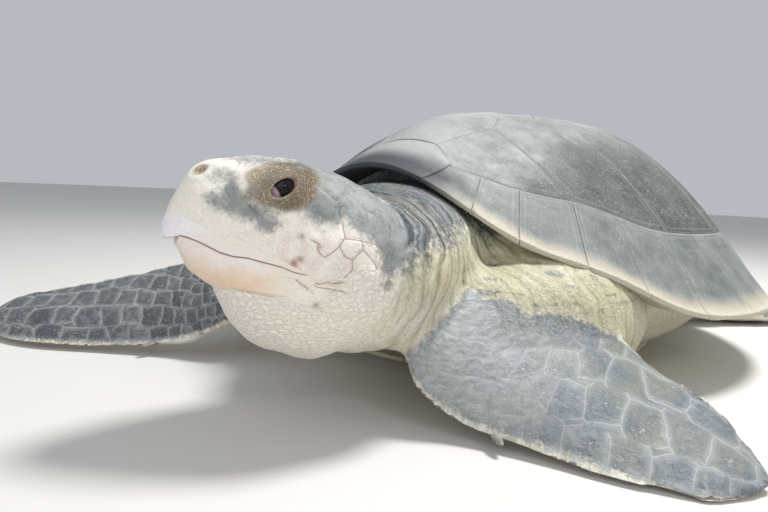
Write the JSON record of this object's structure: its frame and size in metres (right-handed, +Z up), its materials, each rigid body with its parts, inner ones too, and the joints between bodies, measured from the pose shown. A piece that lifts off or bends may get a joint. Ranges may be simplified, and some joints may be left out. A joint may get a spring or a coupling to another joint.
{
  "type": "kemp's ridley sea turtle",
  "caption": "Life-size still model of an adult Kemp's ridley sea turtle lying on its plastron, head raised and turned, fore flippers spread forward and back on the floor.",
  "frame": {"origin": "centre of the bounding box, on the floor plane under the plastron", "axes": "+Z up, the turtle's shell points its front end along -Y, its left side is +X"},
  "size_m": [0.7254, 0.8834, 0.258],
  "materials": {
    "skin": "matt scaly skin, grey-green and blue-grey above, cream below",
    "horn": "satin horn of the beak, cream with pink and tan",
    "scute": "dry satin horn plates, grey-green, dusty and finely scratched",
    "rim": "dry satin horn plates, grey-green with a cream edge",
    "plastron": "satin horn plates, cream yellow",
    "eye": "wet gloss, near-black iris",
    "claw": "satin horn, grey-brown"
  },
  "bodies": {
    "root": {"head": "skin", "neck": "skin", "trunk": "skin", "upper_arm_left": "skin", "upper_arm_right": "skin", "fore_flipper_left": "skin", "fore_flipper_right": "skin", "thigh_left": "skin", "thigh_right": "skin", "hind_flipper_left": "skin", "hind_flipper_right": "skin", "tail": "skin", "beak_upper": "horn", "beak_lower": "horn", "eye_left": "eye", "eye_right": "eye", "claw_left": "claw", "claw_right": "claw", "plastron": "plastron", "nuchal": "scute", "vertebral_1": "scute", "vertebral_2": "scute", "vertebral_3": "scute", "vertebral_4": "scute", "vertebral_5": "scute", "costal_left_1": "scute", "costal_left_2": "scute", "costal_left_3": "scute", "costal_left_4": "scute", "costal_left_5": "scute", "marginal_left_1": "rim", "marginal_left_2": "rim", "marginal_left_3": "rim", "marginal_left_4": "rim", "marginal_left_5": "rim", "marginal_left_6": "rim", "marginal_left_7": "rim", "marginal_left_8": "rim", "marginal_left_9": "rim", "marginal_left_10": "rim", "marginal_left_11": "rim", "marginal_left_12": "rim", "costal_right_1": "scute", "costal_right_2": "scute", "costal_right_3": "scute", "costal_right_4": "scute", "costal_right_5": "scute", "marginal_right_1": "rim", "marginal_right_2": "rim", "marginal_right_3": "rim", "marginal_right_4": "rim", "marginal_right_5": "rim", "marginal_right_6": "rim", "marginal_right_7": "rim", "marginal_right_8": "rim", "marginal_right_9": "rim", "marginal_right_10": "rim", "marginal_right_11": "rim", "marginal_right_12": "rim"}
  },
  "joints": []
}
